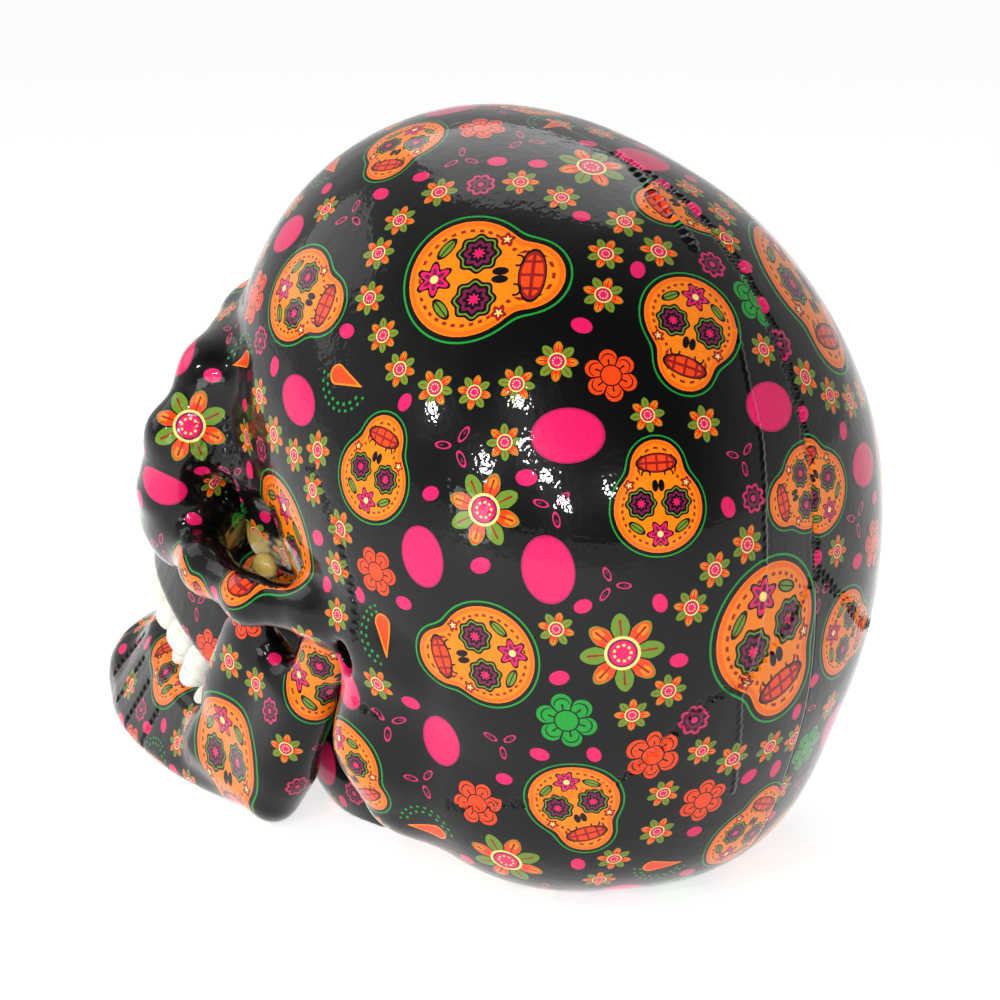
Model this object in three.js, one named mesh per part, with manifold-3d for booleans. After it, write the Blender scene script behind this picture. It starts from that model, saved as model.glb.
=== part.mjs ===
// A life-size sugar skull: two hollow half shells on a seam, a jaw that swings on two pins,
// and separate teeth in sockets. It lies tipped back on its jaw and the back of its head.
import * as THREE from "three";
import { MarchingCubes } from "three/addons/objects/MarchingCubes.js";
import { mergeVertices } from "three/addons/utils/BufferGeometryUtils.js";
import Module from "manifold-3d";

const wasm = await Module();
wasm.setup();

// Millimetres. The skull's own frame: x to its left, y to its back, z up, origin between the ears.
// Every paired feature is given for the left side and mirrored.

// Fits
const seamGap = 0.3; // between the half shells
const fitGap = 0.3; // around each tooth, dowel and pin
const jawGap = 1.6; // between the swinging jaw and the skull
const toothGap = 0.5; // between neighbouring teeth

// Rest on the table
const restTilt = 26; // degrees that the face looks up
const originHeight = 49; // from the table to the skull's own origin
const jawOpening = 14; // degrees from shut to fully open

// Facet sizes: fine on the face and jaw, coarse on the smooth vault
const faceStep = 4.8;
const vaultStep = 12;
const jawStep = 5;
const cavityStep = 14;

// Braincase
const shellWall = 7;
const socketWall = 6; // left between the cavity and the eye and jaw sockets
const vault = { at: [0, -6, 51], radii: [66, 68, 70.5] };
const parietal = { at: [20, 13, 46], radii: [46, 56, 52] };
const parietalBlend = 9; // rounds the valley between the two parietal swells
const forehead = { at: [0, -40, 56], radii: [55, 51, 57] };
const occiput = { at: [0, 36, 19], radii: [57, 47, 48] };
const nape = { at: [0, 38, 0], radii: [51, 44, 29] };
const napeSide = { at: [27, 30, -7], radii: [27, 33, 24] };
const base = { at: [0, -10, -14], radii: [31, 44, 32] };
const neckPad = { at: [18.5, -3, -39], radii: [14.5, 30, 23] };
const neckHole = { at: [0, 16], radius: 14 };

// Temple, ear and mastoid
const mastoid = { path: [[54, 11, 16], [52, 15, -6], [48, 22, -17]], radii: [12, 11.5, 10] };
const earCrest = { path: [[57, -4, 20], [61, 16, 23]], radii: [5, 4] };
const earHole = { y: 3, z: 13, inner: 56, outer: 76, radius: 3.6 };
const temple = { path: [[51, -41, -14], [50, -38, 12]], radii: [12, 7], flat: 1.4 };
const arch = {
  path: [[48, -60, -6], [58, -46, -1], [63, -28, 5], [62, -10, 15], [57, 2, 19]],
  radii: [8, 6, 5.2, 5.2, 6],
  flat: 1.25,
};

// Face
const maxilla = { at: [0, -66, -14], radii: [33, 27, 26] };
const noseCore = { at: [0, -74, 14], radii: [13, 18, 20] };
const noseSide = { path: [[9, -92, 24], [15, -91, -14]], radii: [6, 7] };
const noseBridge = { path: [[0, -91, 32], [0, -101, 12]], radii: [7, 5] };
const eyeFloor = { path: [[18, -88, -4], [42, -73, -4]], radii: [7, 7] };
const cheek = { at: [42, -67, -4], radii: [12.5, 13, 16] };
const cheekRise = { path: [[46, -70, 34], [53.5, -69, 20], [50, -69, 4]], radii: [7, 8, 9] };
const orbitWall = { path: [[48, -66, 22], [39, -46, 20], [37, -44, 4]], radii: [6, 9, 8] };
const brow = { path: [[0, -86, 34], [24, -83, 38], [47, -72, 36]], radii: [8, 7.5, 7] };
const eyeSocket = { path: [[33, -92, 17], [18, -50, 20]], radii: [18.5, 6] };
const noseHole = { path: [[0, 0, 8], [3.5, 0, -14]], radii: [4, 9], reach: [-120, -74] };
const gumPlan = [[-4, -95], [9, -94], [20, -86], [28, -70], [32, -54], [33, -44]];
const gum = { low: -45, high: -22, halfWidth: 5.5, round: 4 };

// Jaw
const jawPlan = [[-6, -90.5], [10, -90], [20, -81], [30, -62], [38.5, -38], [45.5, -14]];
const jawLows = [-97, -97, -94, -86, -75, -60];
const jawHighs = [-63, -63, -62, -59, -52, -38];
const jawHalfWidths = [7, 7, 7, 7, 6.5, 5];
const jawRound = 5;
const jawLean = 0.1; // how far the tooth line leans in, per millimetre of height
const jawSet = 0.2; // how far the front of the tooth line sets back, per millimetre of height
const jawSetEnd = -40; // place along y where the set back has faded out
const jawSetRun = 40; // length over which it fades
const jawFoot = -86; // height at which the lean and the set back start
const chin = { at: [0, -93, -86], radii: [17, 9, 12] };
const ramusPlan = [[40, -40], [46.5, -13]];
const ramus = { lows: [-64, -56], highs: [-18, -18], halfWidth: 5, round: 4 };
const coronoid = { path: [[44, -34, -36], [48.5, -37, 3]], radii: [8, 3.6], flat: 1.6 };
const condyleNeck = {
  path: [[46, -15, -40], [46.5, -13, -4], [47, -12, 5]],
  radii: [8, 5.5, 5],
  flat: 1.3,
};
const hinge = [0, -12, 6];
const condyle = { inner: 41, outer: 52, radius: 5 };
const hingePin = { radius: 1.6, bite: 3, seat: 13 }; // bite into the skull, seat in the condyle

// Teeth, from the middle to the back
const upperWidths = [8.4, 6.8, 7.6, 7, 6.8, 10, 9.4];
const lowerWidths = [5.4, 6, 7, 7.2, 7.4, 10.6, 10];
const toothDepth = 7.4;
const backToothDepth = 9.6;
const biteHeight = -53.6; // where the two rows meet
const biteGap = 0.6;
const rootLength = 8;
const rootShare = 0.62; // root width beside crown width
const toothSides = 8;
const lowerGum = -62.5;

// Seam dowels: each lies in the wall, at this many degrees up from the back of the vault's middle
const dowelRadius = 1.6;
const dowelLength = 14;
const dowelAngles = { brow: 163, crown: 90, back: 12, nape: -28 };

// Field helpers: a value below zero is inside.
function joinSmooth(a, b, reach) {
  const h = THREE.MathUtils.clamp(0.5 + (0.5 * (b - a)) / reach, 0, 1);
  return b * (1 - h) + a * h - reach * h * (1 - h);
}

function cutSmooth(a, hole, reach) {
  return -joinSmooth(-a, hole, reach);
}

function egg(p, { at, radii }) {
  const q = [p[0] - at[0], p[1] - at[1], p[2] - at[2]];
  const near = Math.hypot(q[0] / radii[0], q[1] / radii[1], q[2] / radii[2]);
  const slope = Math.hypot(q[0] / radii[0] ** 2, q[1] / radii[1] ** 2, q[2] / radii[2] ** 2);
  return (near * (near - 1)) / (slope + 1e-9);
}

// A rod of changing radius along a path. flat thins it in x.
function rod(p, { path, radii, flat = 1 }, reach = 4) {
  let all = Infinity;
  for (let i = 0; i + 1 < path.length; i++) {
    const a = path[i];
    const b = path[i + 1];
    const ab = [(b[0] - a[0]) * flat, b[1] - a[1], b[2] - a[2]];
    const ap = [(p[0] - a[0]) * flat, p[1] - a[1], p[2] - a[2]];
    const along = (ap[0] * ab[0] + ap[1] * ab[1] + ap[2] * ab[2]) / (ab[0] ** 2 + ab[1] ** 2 + ab[2] ** 2);
    const h = THREE.MathUtils.clamp(along, 0, 1);
    const away = Math.hypot(ap[0] - ab[0] * h, ap[1] - ab[1] * h, ap[2] - ab[2] * h);
    const one = (away - THREE.MathUtils.lerp(radii[i], radii[i + 1], h)) / flat;
    all = i ? joinSmooth(all, one, reach) : one;
  }
  return all;
}

// An upright rounded band over a plan line, with its own low edge, high edge and half width at each point.
function band(p, plan, lows, highs, halfWidths, round) {
  let best = Infinity;
  let low = 0;
  let high = 0;
  let half = 0;
  for (let i = 0; i + 1 < plan.length; i++) {
    const a = plan[i];
    const b = plan[i + 1];
    const ab = [b[0] - a[0], b[1] - a[1]];
    const along = ((p[0] - a[0]) * ab[0] + (p[1] - a[1]) * ab[1]) / (ab[0] ** 2 + ab[1] ** 2);
    const h = THREE.MathUtils.clamp(along, 0, 1);
    const away = Math.hypot(p[0] - a[0] - ab[0] * h, p[1] - a[1] - ab[1] * h);
    if (away < best) {
      best = away;
      low = THREE.MathUtils.lerp(lows[i], lows[i + 1], h);
      high = THREE.MathUtils.lerp(highs[i], highs[i + 1], h);
      half = THREE.MathUtils.lerp(halfWidths[i], halfWidths[i + 1], h);
    }
  }
  const out = best - half + round;
  const up = Math.abs(p[2] - (low + high) / 2) - (high - low) / 2 + round;
  return Math.min(Math.max(out, up), 0) + Math.hypot(Math.max(out, 0), Math.max(up, 0)) - round;
}

const mirrored = (p) => [Math.abs(p[0]), p[1], p[2]];

function braincaseField(p) {
  let d = egg(p, vault);
  d = joinSmooth(d, egg(p, forehead), 18);
  d = joinSmooth(d, egg([Math.hypot(p[0], parietalBlend), p[1], p[2]], parietal), 18);
  d = joinSmooth(d, egg(p, occiput), 20);
  return joinSmooth(d, egg(p, nape), 16);
}

function faceField(p) {
  let d = egg(p, maxilla);
  const level = (value) => gumPlan.map(() => value);
  d = joinSmooth(d, band(p, gumPlan, level(gum.low), level(gum.high), level(gum.halfWidth), gum.round), 6);
  d = joinSmooth(d, egg(p, noseCore), 6);
  d = joinSmooth(d, rod(p, noseSide), 6);
  d = joinSmooth(d, rod(p, eyeFloor), 7);
  d = joinSmooth(d, egg(p, cheek), 8);
  d = joinSmooth(d, rod(p, cheekRise), 6);
  d = joinSmooth(d, rod(p, orbitWall), 6);
  d = joinSmooth(d, rod(p, brow), 8);
  return joinSmooth(d, rod(p, noseBridge), 6);
}

function ramusField(p) {
  const { lows, highs, halfWidth, round } = ramus;
  let d = band(p, ramusPlan, lows, highs, [halfWidth, halfWidth], round);
  d = joinSmooth(d, rod(p, coronoid), 8);
  d = joinSmooth(d, rod(p, condyleNeck, 6), 8);
  const head = { path: [[condyle.inner, hinge[1], hinge[2]], [condyle.outer, hinge[1], hinge[2]]] };
  return joinSmooth(d, rod(p, { ...head, radii: [condyle.radius, condyle.radius] }), 4);
}

// How far the jaw's front sets back at a place along y and a height over the jaw's foot.
function setBack(y, rise) {
  return jawSet * rise * THREE.MathUtils.clamp((jawSetEnd - y) / jawSetRun, 0, 1);
}

function jawField(point) {
  const p = mirrored(point);
  const rise = Math.max(p[2] - jawFoot, 0);
  const leaned = [p[0] + jawLean * rise, p[1] - setBack(p[1], rise), p[2]];
  let d = band(leaned, jawPlan, jawLows, jawHighs, jawHalfWidths, jawRound);
  d = joinSmooth(d, egg(p, chin), 8);
  return joinSmooth(d, ramusField(p), 8);
}

// The room that the jaw's upright branch takes up as it swings.
function swingField(p) {
  let d = Infinity;
  for (const share of [0, 0.33, 0.67, 1]) {
    const turn = THREE.MathUtils.degToRad(jawOpening * share);
    const y = p[1] - hinge[1];
    const z = p[2] - hinge[2];
    const back = [p[0], y * Math.cos(turn) + z * Math.sin(turn), z * Math.cos(turn) - y * Math.sin(turn)];
    d = Math.min(d, ramusField([back[0], back[1] + hinge[1], back[2] + hinge[2]]));
  }
  return d - jawGap;
}

function skullField(point) {
  const p = mirrored(point);
  let d = braincaseField(p);
  d = joinSmooth(d, egg(p, base), 14);
  d = joinSmooth(d, egg(p, napeSide), 14);
  d = joinSmooth(d, egg(p, neckPad), 10);
  d = joinSmooth(d, rod(p, mastoid, 6), 10);
  d = joinSmooth(d, rod(p, earCrest), 8);
  d = joinSmooth(d, faceField(p), 9);
  d = cutSmooth(d, rod(p, temple), 5);
  d = joinSmooth(d, rod(p, arch), 5);
  d = cutSmooth(d, rod(p, eyeSocket), 4);
  const [front, back] = noseHole.reach;
  const inNose = [p[0], p[1] - THREE.MathUtils.clamp(p[1], front, back), p[2]];
  d = cutSmooth(d, rod(inNose, noseHole), 3);
  return cutSmooth(d, swingField(p), 2);
}

function cavityField(point) {
  const p = mirrored(point);
  let d = braincaseField(p) + shellWall;
  for (const room of [rod(p, eyeSocket), swingField(p)]) d = cutSmooth(d, room - socketWall, 5);
  return d;
}

// Grid lines that cover a range, with the step that each place asks for.
function gridLines(from, to, stepAt) {
  const lines = [from];
  while (lines.at(-1) < to) lines.push(lines.at(-1) + stepAt(lines.at(-1)));
  return lines;
}

// The closed surface of a field, with its vertices evened out and set back on the surface.
function skin(field, grid) {
  const count = Math.max(...grid.map((lines) => lines.length)) + 4;
  for (const lines of grid) {
    const step = lines.at(-1) - lines.at(-2);
    lines.unshift(2 * lines[0] - lines[1]);
    while (lines.length <= count) lines.push(lines.at(-1) + step);
  }
  const cubes = new MarchingCubes(count, undefined, false, false, 40000);
  const least = 0.5;
  for (let k = 0; k < count; k++)
    for (let j = 0; j < count; j++)
      for (let i = 0; i < count; i++) {
        const d = field([grid[0][i], grid[1][j], grid[2][k]]);
        const kept = Math.abs(d) < least ? least * (d < 0 ? -1 : 1) : d;
        cubes.field[i + j * count + k * count * count] = -kept;
      }
  cubes.isolation = 0;
  cubes.update();
  const spots = cubes.positionArray.slice(0, cubes.count * 3).map((value, n) => {
    const along = ((value + 1) * count) / 2;
    const line = Math.floor(along);
    return THREE.MathUtils.lerp(grid[n % 3][line], grid[n % 3][line + 1], along - line);
  });
  const raw = new THREE.BufferGeometry();
  raw.setAttribute("position", new THREE.BufferAttribute(spots, 3));
  const surface = mergeVertices(raw, 1e-3);
  for (let pass = 0; pass < 3; pass++) evenOut(surface, field);
  return surface;
}

function evenOut(surface, field) {
  const place = surface.attributes.position;
  const index = surface.index.array;
  const sums = new Float32Array(place.count * 4);
  for (let t = 0; t < index.length; t += 3)
    for (let c = 0; c < 3; c++) {
      const a = index[t + c];
      const b = index[t + ((c + 1) % 3)];
      sums[a * 4] += place.getX(b);
      sums[a * 4 + 1] += place.getY(b);
      sums[a * 4 + 2] += place.getZ(b);
      sums[a * 4 + 3] += 1;
    }
  const nudge = 0.2;
  for (let v = 0; v < place.count; v++) {
    const mean = [0, 1, 2].map((axis) => sums[v * 4 + axis] / sums[v * 4 + 3]);
    const here = [place.getX(v), place.getY(v), place.getZ(v)];
    const p = here.map((value, axis) => THREE.MathUtils.lerp(value, mean[axis], 0.45));
    const d = field(p);
    const slope = [0, 1, 2].map((axis) => {
      const q = p.slice();
      q[axis] += nudge;
      return (field(q) - d) / nudge;
    });
    const steep = Math.max(slope[0] ** 2 + slope[1] ** 2 + slope[2] ** 2, 0.3);
    place.setXYZ(v, ...p.map((value, axis) => value - (d * slope[axis]) / steep));
  }
}

function toSolid(geometry) {
  const bare = geometry.clone();
  bare.deleteAttribute("normal");
  bare.deleteAttribute("uv");
  const merged = mergeVertices(bare, 1e-4);
  const triVerts = new Uint32Array(merged.index.array);
  const vertProperties = merged.attributes.position.array;
  return new wasm.Manifold(new wasm.Mesh({ numProp: 3, vertProperties, triVerts }));
}

function toGeometry(solid) {
  const mesh = solid.getMesh();
  const geometry = new THREE.BufferGeometry();
  geometry.setAttribute("position", new THREE.BufferAttribute(mesh.vertProperties, 3));
  geometry.setIndex(new THREE.BufferAttribute(mesh.triVerts, 1));
  geometry.computeVertexNormals();
  return geometry;
}

function mirror(geometry) {
  const copy = geometry.clone().scale(-1, 1, 1);
  const index = copy.index.array;
  for (let t = 0; t < index.length; t += 3) [index[t + 1], index[t + 2]] = [index[t + 2], index[t + 1]];
  copy.computeVertexNormals();
  return copy;
}

// A round bar along x.
function crossBar(radius, inner, outer, y, z) {
  const bar = new THREE.CylinderGeometry(radius, radius, outer - inner, 16);
  return bar.rotateZ(Math.PI / 2).translate((inner + outer) / 2, y, z);
}

// A tooth on its own axis: crown up from z 0, root down. grow widens it all round, for its socket.
function toothShape(width, depth, crown, grow = 0) {
  const half = width / 2;
  const outline = [
    [0, -rootLength - grow],
    [half * rootShare * 0.55 + grow, -rootLength - grow],
    [half * rootShare + grow, -1.5],
    [half * 0.86 + grow, 1],
    [half + grow, crown * 0.62],
    [half * 0.8 + grow, crown + grow - 0.6],
    [0, crown + grow],
  ].map(([r, z]) => new THREE.Vector2(r, z));
  const shape = new THREE.LatheGeometry(outline, toothSides).rotateX(Math.PI / 2);
  return shape.scale(1, (depth + 2 * grow) / (width + 2 * grow), 1);
}

// One row of teeth on the left, along a plan line, with the place and turn of each.
function toothRow(plan, widths, gumHeight, rise) {
  const line = new THREE.CurvePath();
  const points = plan.map(([x, y]) => {
    const inset = x > 0 ? jawLean * rise : 0;
    return new THREE.Vector3(Math.max(x, 0) - inset, y + setBack(y, rise), 0);
  });
  points.slice(1).forEach((point, i) => line.add(new THREE.LineCurve3(points[i], point)));
  const smooth = new THREE.CatmullRomCurve3(line.getSpacedPoints(12), false, "centripetal");
  const length = smooth.getLength();
  const crown = Math.abs(biteHeight - gumHeight) - biteGap / 2;
  const up = Math.sign(biteHeight - gumHeight);
  let run = toothGap / 2;
  return widths.map((width, i) => {
    const u = (run + width / 2) / length;
    run += width + toothGap;
    const at = smooth.getPointAt(u);
    const ahead = smooth.getTangentAt(u);
    const depth = i < 4 ? toothDepth : backToothDepth;
    const place = (grow) => {
      const shape = toothShape(width, depth, crown, grow);
      if (up < 0) shape.rotateX(Math.PI);
      return shape.rotateZ(Math.atan2(ahead.y, ahead.x)).translate(at.x, at.y, gumHeight);
    };
    return { tooth: place(0), socket: place(fitGap) };
  });
}

const upperRow = toothRow(gumPlan, upperWidths, gum.low, 0);
const lowerRow = toothRow(jawPlan, lowerWidths, lowerGum, lowerGum - jawFoot);

// The table, in the skull's own frame.
const tilt = THREE.MathUtils.degToRad(restTilt);
const table = toSolid(
  new THREE.BoxGeometry(600, 600, 200).translate(0, 0, -100 - originHeight).rotateX(tilt),
);
const leftSide = toSolid(new THREE.BoxGeometry(300, 600, 600).translate(150 + seamGap / 2, 0, 0));

// The place, on the middle plane, that lies halfway through the braincase wall.
function inWall(angle) {
  const turn = THREE.MathUtils.degToRad(angle);
  const place = (far) => [vault.at[1] + far * Math.cos(turn), vault.at[2] + far * Math.sin(turn)];
  let near = 0;
  let far = 200;
  while (far - near > 0.01) {
    const mid = (near + far) / 2;
    if (braincaseField([0, ...place(mid)]) < -shellWall / 2) near = mid;
    else far = mid;
  }
  return place(near);
}

// Half shell
const [, , neckPadMiddle] = neckPad.at;
const [, , neckPadRise] = neckPad.radii;
const neckDepth = neckPadRise - neckPadMiddle + neckHole.radius;
const neckTunnel = new THREE.CylinderGeometry(neckHole.radius, neckHole.radius, neckDepth, 32)
  .rotateX(Math.PI / 2)
  .translate(...neckHole.at, -neckDepth / 2);
const pinInner = condyle.inner - condyle.radius - jawGap - hingePin.bite;
const pinOuter = condyle.inner - condyle.radius + hingePin.seat;
const pinBore = crossBar(
  hingePin.radius + fitGap, pinInner - fitGap, pinOuter + fitGap, hinge[1], hinge[2],
);
const width = Math.max(vault.radii[0], parietal.at[0] + parietal.radii[0]) + 6;
const noseTip = Math.min(...noseBridge.path.map(([, y]) => y));
const grade = (value, fineEnd, way) => {
  const past = THREE.MathUtils.clamp((way * (value - fineEnd)) / 40, 0, 1);
  return THREE.MathUtils.lerp(faceStep, vaultStep, past);
};
const shellGrid = [
  gridLines(-width, width, () => faceStep * 1.2),
  gridLines(noseTip - 12, occiput.at[1] + occiput.radii[1] + 8, (y) => grade(y, -10, 1)),
  gridLines(neckPadMiddle - neckPadRise - 12, vault.at[2] + vault.radii[2] + 8, (z) => grade(z, 30, 1)),
];
const cavityGrid = [
  gridLines(-width, width, () => cavityStep),
  gridLines(forehead.at[1] - forehead.radii[1], occiput.at[1] + occiput.radii[1], () => cavityStep),
  gridLines(nape.at[2] - nape.radii[2], vault.at[2] + vault.radii[2], () => cavityStep),
];
let half = toSolid(skin(skullField, shellGrid)).intersect(leftSide);
half = half.subtract(toSolid(skin(cavityField, cavityGrid)));
const earBore = crossBar(earHole.radius, earHole.inner, earHole.outer, earHole.y, earHole.z);
for (const cut of [neckTunnel, pinBore, earBore]) half = half.subtract(toSolid(cut));
half = half.subtract(table);
for (const { socket } of upperRow) half = half.subtract(toSolid(socket));
const dowelReach = dowelLength / 2;
const dowelPlaces = Object.entries(dowelAngles).map(([name, angle]) => ({ name, at: inWall(angle) }));
for (const { at } of dowelPlaces) {
  const bore = crossBar(dowelRadius + fitGap, -dowelReach - fitGap, dowelReach + fitGap, ...at);
  half = half.subtract(toSolid(bore));
}
const halfShell = toGeometry(half);

// Jaw
const jawWidth = condyle.outer + condyle.radius + 10;
const jawGrid = [
  gridLines(-jawWidth, jawWidth, () => jawStep),
  gridLines(chin.at[1] - chin.radii[1] - 12, jawPlan.at(-1)[1] + 20, () => jawStep),
  gridLines(jawLows[0] - 12, hinge[2] + condyle.radius + 8, () => jawStep),
];
let jawBody = toSolid(skin(jawField, jawGrid)).subtract(table);
const pinSleeve = crossBar(
  hingePin.radius + fitGap, condyle.inner - condyle.radius - 2, pinOuter + fitGap, hinge[1], hinge[2],
);
for (const cut of [pinSleeve, ...lowerRow.map(({ socket }) => socket)])
  jawBody = jawBody.subtract(toSolid(cut)).subtract(toSolid(mirror(cut)));

const black = () => new THREE.MeshStandardMaterial({ color: 0x161617, roughness: 0.12, metalness: 0 });
const white = () => new THREE.MeshStandardMaterial({ color: 0xf6f7f0, roughness: 0.25, metalness: 0 });
const steel = () => new THREE.MeshStandardMaterial({ color: 0xb4b6b8, roughness: 0.35, metalness: 1 });
const bone = () => new THREE.MeshStandardMaterial({ color: 0xcdbd8a, roughness: 0.5, metalness: 0 });

const skull = new THREE.Group();
function add(name, geometry, material) {
  const mesh = new THREE.Mesh(geometry, material);
  mesh.name = name;
  skull.add(mesh);
}

add("skull_shell_left", halfShell, black());
add("skull_shell_right", mirror(halfShell), black());
add("jaw", toGeometry(jawBody), black());
const pin = crossBar(hingePin.radius, pinInner, pinOuter, hinge[1], hinge[2]);
add("jaw_pin_left", pin, steel());
add("jaw_pin_right", mirror(pin), steel());
for (const { name, at } of dowelPlaces)
  add("seam_dowel_" + name, crossBar(dowelRadius, -dowelReach, dowelReach, ...at), bone());
for (const [row, teeth] of [["upper", upperRow], ["lower", lowerRow]])
  teeth.forEach(({ tooth }, i) => {
    add(`${row}_tooth_left_${i + 1}`, tooth, white());
    add(`${row}_tooth_right_${i + 1}`, mirror(tooth), white());
  });

// On the table, with the part's origin under the middle of its box.
skull.rotation.x = -tilt;
skull.position.z = originHeight;
const part = new THREE.Group();
part.add(skull);
part.updateMatrixWorld(true);
const middle = new THREE.Box3().setFromObject(part, true).getCenter(new THREE.Vector3());
skull.position.y = -middle.y;
part.updateMatrixWorld(true);

export default part;
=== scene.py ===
# Sugar skull: printed black half shells, a swinging jaw and white teeth.
import math

import bmesh
import bpy
import numpy as np
import openvdb
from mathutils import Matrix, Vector, kdtree


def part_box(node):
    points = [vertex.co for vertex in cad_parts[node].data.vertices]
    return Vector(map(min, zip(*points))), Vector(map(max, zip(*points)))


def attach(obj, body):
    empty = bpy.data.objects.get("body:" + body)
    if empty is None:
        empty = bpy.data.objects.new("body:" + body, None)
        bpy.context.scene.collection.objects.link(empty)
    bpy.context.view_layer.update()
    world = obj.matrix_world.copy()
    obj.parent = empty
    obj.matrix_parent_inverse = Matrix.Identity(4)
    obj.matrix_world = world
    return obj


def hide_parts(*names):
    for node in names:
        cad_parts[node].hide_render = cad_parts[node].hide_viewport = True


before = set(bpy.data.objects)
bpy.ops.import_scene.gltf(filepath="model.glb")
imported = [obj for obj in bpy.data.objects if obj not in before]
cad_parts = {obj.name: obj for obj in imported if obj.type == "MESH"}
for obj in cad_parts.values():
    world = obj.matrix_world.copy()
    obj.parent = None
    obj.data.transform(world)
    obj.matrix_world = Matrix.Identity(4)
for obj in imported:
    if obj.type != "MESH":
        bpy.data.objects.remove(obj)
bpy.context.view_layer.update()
print("frame loaded:", len(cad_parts), "nodes")

# how it lies: the skull's own frame is x left, y back, z up, in millimetres
lying = {"tilt": math.radians(26), "height": 49.0, "hinge": (-12.0, 6.0)}
pinLow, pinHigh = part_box("jaw_pin_left")
pinY = (pinLow[1] + pinHigh[1]) * 500
tiltCos, tiltSin = math.cos(lying["tilt"]), math.sin(lying["tilt"])
lying["shift"] = pinY - lying["hinge"][0] * tiltCos - lying["hinge"][1] * tiltSin


def toPart(points):
    y = points[:, 1] * tiltCos + points[:, 2] * tiltSin + lying["shift"]
    z = points[:, 2] * tiltCos - points[:, 1] * tiltSin + lying["height"]
    return np.stack([points[:, 0], y, z], 1) / 1000


def toSkull(points):
    y = points[:, 1] * 1000 - lying["shift"]
    z = points[:, 2] * 1000 - lying["height"]
    return np.stack([points[:, 0] * 1000, y * tiltCos - z * tiltSin, y * tiltSin + z * tiltCos], 1)


# solid fields, negative inside
def joinSmooth(a, b, reach):
    h = np.clip(0.5 + 0.5 * (b - a) / reach, 0, 1)
    return b * (1 - h) + a * h - reach * h * (1 - h)


def cutSmooth(a, hole, reach):
    return -joinSmooth(-a, hole, reach)


def egg(p, at, radii):
    q = [(p[i] - at[i]) / radii[i] for i in range(3)]
    near = np.sqrt(q[0] ** 2 + q[1] ** 2 + q[2] ** 2)
    slope = np.sqrt(sum((q[i] / radii[i]) ** 2 for i in range(3))) + 1e-9
    return near * (near - 1) / slope


def rod(p, path, radii, flat=1.0, reach=4.0):
    whole = None
    for a, b, ra, rb in zip(path[:-1], path[1:], radii[:-1], radii[1:]):
        ab = ((b[0] - a[0]) * flat, b[1] - a[1], b[2] - a[2])
        ap = ((p[0] - a[0]) * flat, p[1] - a[1], p[2] - a[2])
        h = np.clip((ap[0] * ab[0] + ap[1] * ab[1] + ap[2] * ab[2]) / sum(v * v for v in ab), 0, 1)
        away = np.sqrt(sum((ap[i] - ab[i] * h) ** 2 for i in range(3)))
        one = (away - (ra + (rb - ra) * h)) / flat
        whole = one if whole is None else joinSmooth(whole, one, reach)
    return whole


def band(p, plan, lows, highs, halfWidths, edge):
    rows = np.column_stack([plan, lows, highs, halfWidths])
    for _ in range(2):  # corners cut twice
        near, far = rows[:-1] * 0.75 + rows[1:] * 0.25, rows[:-1] * 0.25 + rows[1:] * 0.75
        rows = np.concatenate([rows[:1], np.stack([near, far], 1).reshape(-1, 5), rows[-1:]])
    plan, (lows, highs, halfWidths) = rows[:, :2], rows[:, 2:].T
    best = low = high = half = None
    for i in range(len(plan) - 1):
        a, b = plan[i], plan[i + 1]
        ab = (b[0] - a[0], b[1] - a[1])
        h = np.clip(((p[0] - a[0]) * ab[0] + (p[1] - a[1]) * ab[1]) / (ab[0] ** 2 + ab[1] ** 2), 0, 1)
        away = np.hypot(p[0] - a[0] - ab[0] * h, p[1] - a[1] - ab[1] * h)
        ends = [v[i] + (v[i + 1] - v[i]) * h for v in (lows, highs, halfWidths)]
        if best is None:
            best, low, high, half = away, *ends
        else:
            near = away < best
            best = np.where(near, away, best)
            low, high, half = [np.where(near, new, old) for new, old in zip(ends, (low, high, half))]
    out = best - half + edge
    up = np.abs(p[2] - (low + high) / 2) - (high - low) / 2 + edge
    return np.minimum(np.maximum(out, up), 0) + np.hypot(np.maximum(out, 0), np.maximum(up, 0)) - edge


headShape = {
    "vault": ((0, -6, 51), (66, 68, 70.5)), "parietal": ((20, 13, 46), (46, 56, 52)),
    "forehead": ((0, -40, 56), (55, 51, 57)),
    "occiput": ((0, 36, 19), (57, 47, 48)), "nape": ((0, 38, 0), (51, 44, 29)),
    "napeSide": ((27, 30, -7), (27, 33, 24)), "neckPad": ((18.5, -3, -39), (14.5, 30, 23)),
    "base": ((0, -10, -14), (31, 44, 32)),
    "mastoid": ([(54, 11, 16), (52, 15, -6), (48, 22, -17)], (12, 11.5, 10)),
    "earCrest": ([(57, -4, 20), (61, 16, 23)], (5, 4)),
    "temple": ([(51, -41, -14), (50, -38, 12)], (12, 7), 1.4),
    "arch": ([(48, -60, -6), (58, -46, -1), (63, -28, 5), (62, -10, 15), (57, 2, 19)], (8, 6, 5.2, 5.2, 6), 1.25),
    "earHole": ([(59, 3, 13), (80, 3, 13)], (3.6, 3.6)),
    "neck": (0, 16, 14, 20),
}
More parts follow.
